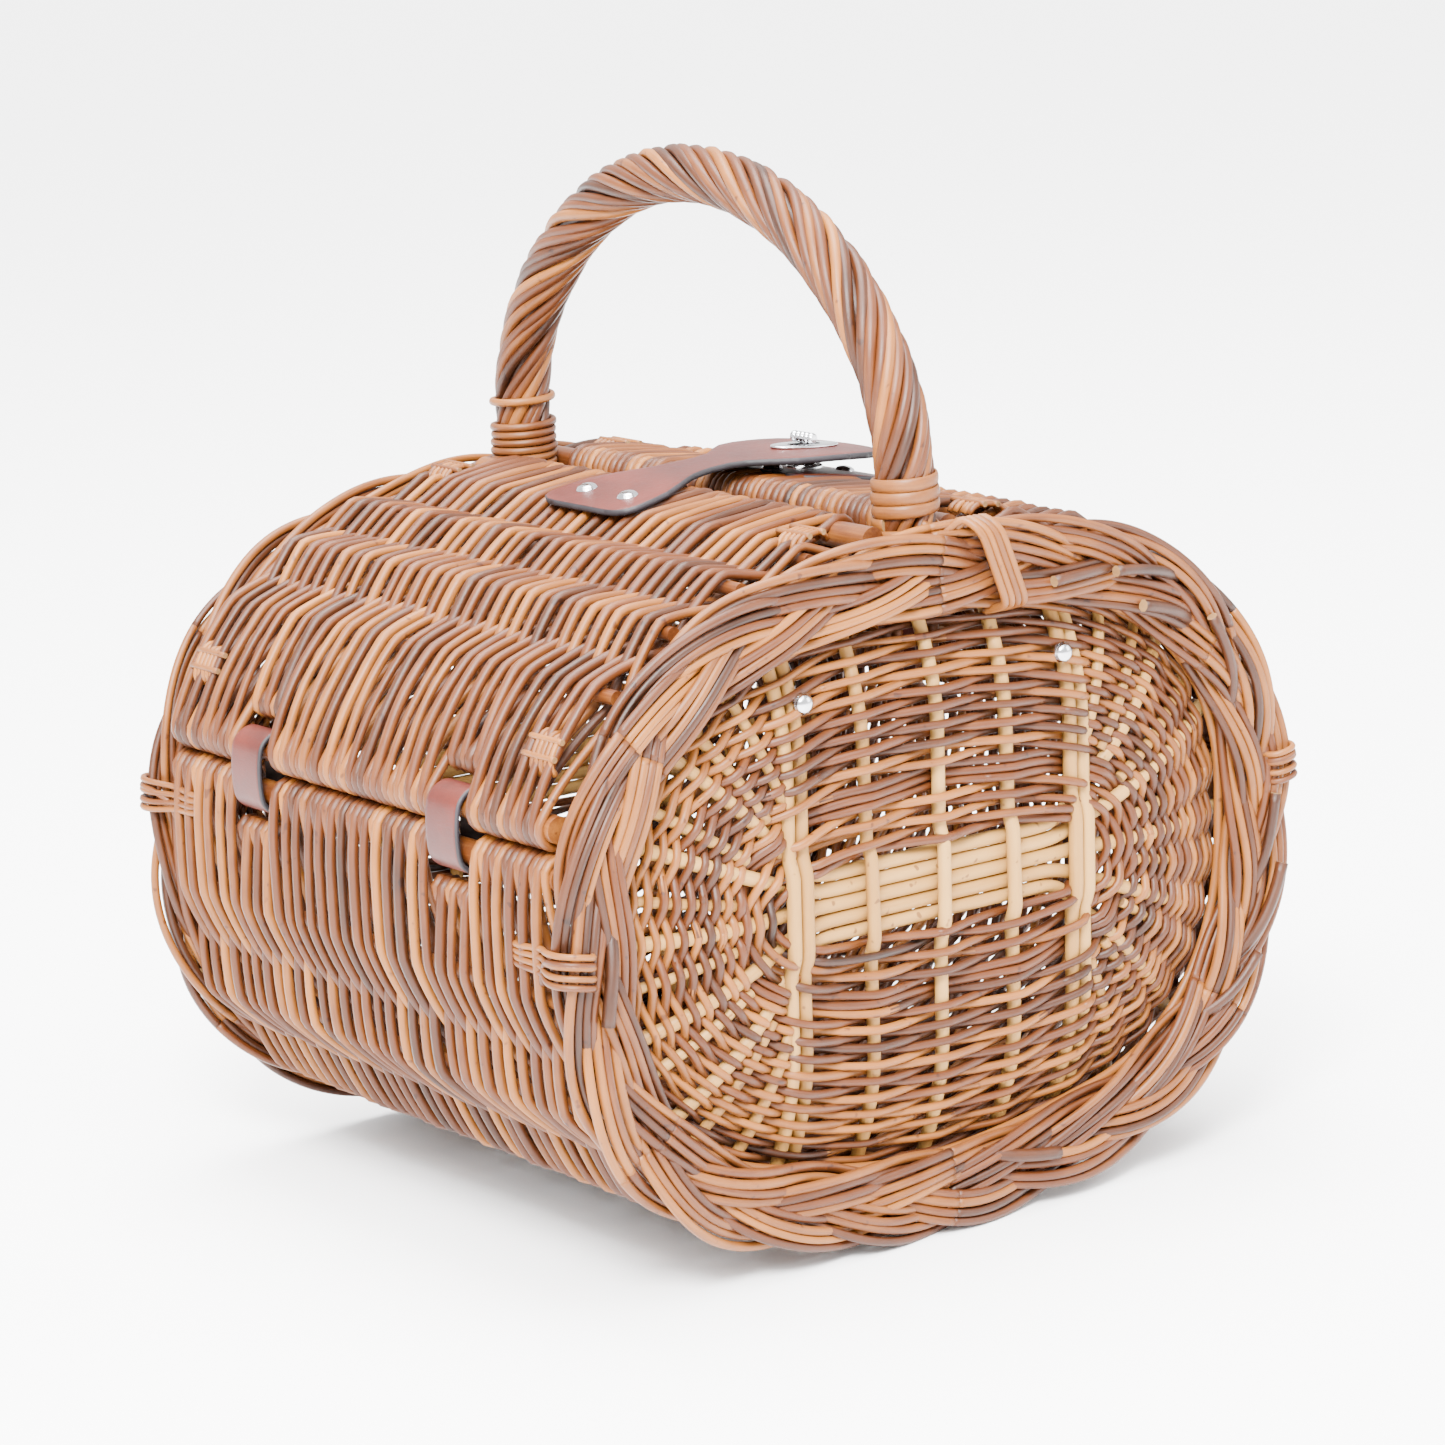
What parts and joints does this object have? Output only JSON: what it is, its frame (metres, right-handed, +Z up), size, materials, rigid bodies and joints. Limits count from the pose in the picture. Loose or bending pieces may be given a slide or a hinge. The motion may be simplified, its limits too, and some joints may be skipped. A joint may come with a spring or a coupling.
{
  "type": "wicker picnic basket",
  "caption": "Barrel-shaped wicker picnic basket with domed end panels, braided borders, a fixed roped handle and two curved lids held by a leather strap with a turn catch.",
  "frame": {"origin": "on the ground under the middle of the basket", "axes": "+X across the barrel towards the right lid, +Y along the barrel towards the back end, +Z up"},
  "size_m": [0.3986, 0.3288, 0.4435],
  "materials": {
    "willow": "satin buff willow",
    "peeled_willow": "satin peeled willow",
    "leather": "smooth reddish brown with dark edges",
    "metal": "polished nickel plate"
  },
  "bodies": {
    "basket": {"body_wall": "willow", "body_sticks": "willow", "body_rail_left": "willow", "body_rail_right": "willow", "end_panel_front": "willow", "end_panel_back": "willow", "upright_stakes_front": "peeled_willow", "upright_stakes_back": "peeled_willow", "slath_rods_front": "peeled_willow", "slath_rods_back": "peeled_willow", "bye_stakes_front": "willow", "bye_stakes_back": "willow", "border_front": "willow", "border_back": "willow", "border_ties_front": "willow", "border_ties_back": "willow", "handle_core": "willow", "handle_rope": "willow", "handle_ends": "willow", "handle_binding_front": "willow", "handle_binding_back": "willow", "handle_tail": "willow", "panel_studs": "metal", "hinge_loop_left_front": "leather", "hinge_loop_left_back": "leather", "hinge_loop_right_front": "leather", "hinge_loop_right_back": "leather"},
    "lid_left": {"lid_weave_left": "willow", "lid_hinge_rail_left": "willow", "lid_top_rail_left": "willow", "lid_sticks_left": "willow", "lid_corner_ties_left": "willow", "strap_anchor": "leather", "strap_rivets": "metal"},
    "lid_right": {"lid_weave_right": "willow", "lid_hinge_rail_right": "willow", "lid_top_rail_right": "willow", "lid_sticks_right": "willow", "lid_corner_ties_right": "willow", "lock_patch": "leather", "patch_rivets": "metal", "catch_base": "metal"},
    "strap": {"strap_tongue": "leather", "strap_plate": "metal"},
    "turn_bar": {"turn_bar": "metal"}
  },
  "joints": [
    {"name": "lid_left_hinge", "type": "hinge", "parent": "basket", "child": "lid_left", "pos_m": [-0.18257, 0, 0.2015], "axis": [0, -1, 0], "range_deg": [0, 115]},
    {"name": "lid_right_hinge", "type": "hinge", "parent": "basket", "child": "lid_right", "pos_m": [0.18257, 0, 0.2015], "axis": [0, 1, 0], "range_deg": [0, 115]},
    {"name": "strap_lift", "type": "hinge", "parent": "lid_left", "child": "strap", "pos_m": [-0.035, 0.002, 0.30354], "axis": [0, -1, 0], "range_deg": [0, 80], "deforming": ["strap_tongue", "strap_plate"]},
    {"name": "turn_bar_turn", "type": "hinge", "parent": "lid_right", "child": "turn_bar", "pos_m": [0.056, 0.002, 0.3113], "axis": [0, 0, 1], "range_deg": [0, 90]}
  ]
}
